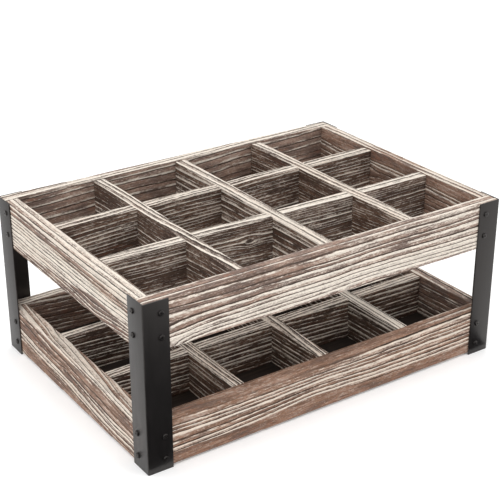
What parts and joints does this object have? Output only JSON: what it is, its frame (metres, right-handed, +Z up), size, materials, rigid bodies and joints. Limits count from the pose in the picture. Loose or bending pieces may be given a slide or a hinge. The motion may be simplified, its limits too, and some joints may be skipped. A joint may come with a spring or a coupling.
{
  "type": "wine rack",
  "caption": "Low open wooden crate that stores wine bottles upright in a grid of cells between lower and upper rails, held at its corners by black steel angles.",
  "frame": {"origin": "on the ground, in the middle of the rack's footprint", "axes": "+X along the length, parallel to the front and back rails; +Y from the front to the back; +Z up"},
  "size_m": [0.4614, 0.3264, 0.1895],
  "materials": {
    "whitewashed_pine": "wire-brushed pine rails, whitewashed over a brown stain, rough and matt",
    "divider_pine": "the same brushed and whitewashed pine, a little browner on its faces",
    "dark_panel": "dark-stained thin board, matt",
    "black_steel": "satin black coating over folded sheet steel",
    "black_screw": "black coated screw steel, worn to grey at the edges of the recess",
    "nail_steel": "plain bright nail steel"
  },
  "bodies": {
    "root": {"back_lower_rail": "whitewashed_pine", "back_upper_rail": "whitewashed_pine", "bottom_panel": "dark_panel", "bottom_panel_nails": "nail_steel", "bracket_screws_back_left": "black_screw", "bracket_screws_back_right": "black_screw", "bracket_screws_front_left": "black_screw", "bracket_screws_front_right": "black_screw", "corner_bracket_back_left": "black_steel", "corner_bracket_back_right": "black_steel", "corner_bracket_front_left": "black_steel", "corner_bracket_front_right": "black_steel", "divider_nails": "nail_steel", "front_lower_rail": "whitewashed_pine", "front_upper_rail": "whitewashed_pine", "left_lower_rail": "whitewashed_pine", "left_upper_rail": "whitewashed_pine", "lower_cross_divider_centre": "divider_pine", "lower_cross_divider_left": "divider_pine", "lower_cross_divider_right": "divider_pine", "lower_long_divider_back": "divider_pine", "lower_long_divider_front": "divider_pine", "rail_corner_nails": "nail_steel", "right_lower_rail": "whitewashed_pine", "right_upper_rail": "whitewashed_pine", "upper_cross_divider_centre": "divider_pine", "upper_cross_divider_left": "divider_pine", "upper_cross_divider_right": "divider_pine", "upper_long_divider_back": "divider_pine", "upper_long_divider_front": "divider_pine"}
  },
  "joints": []
}
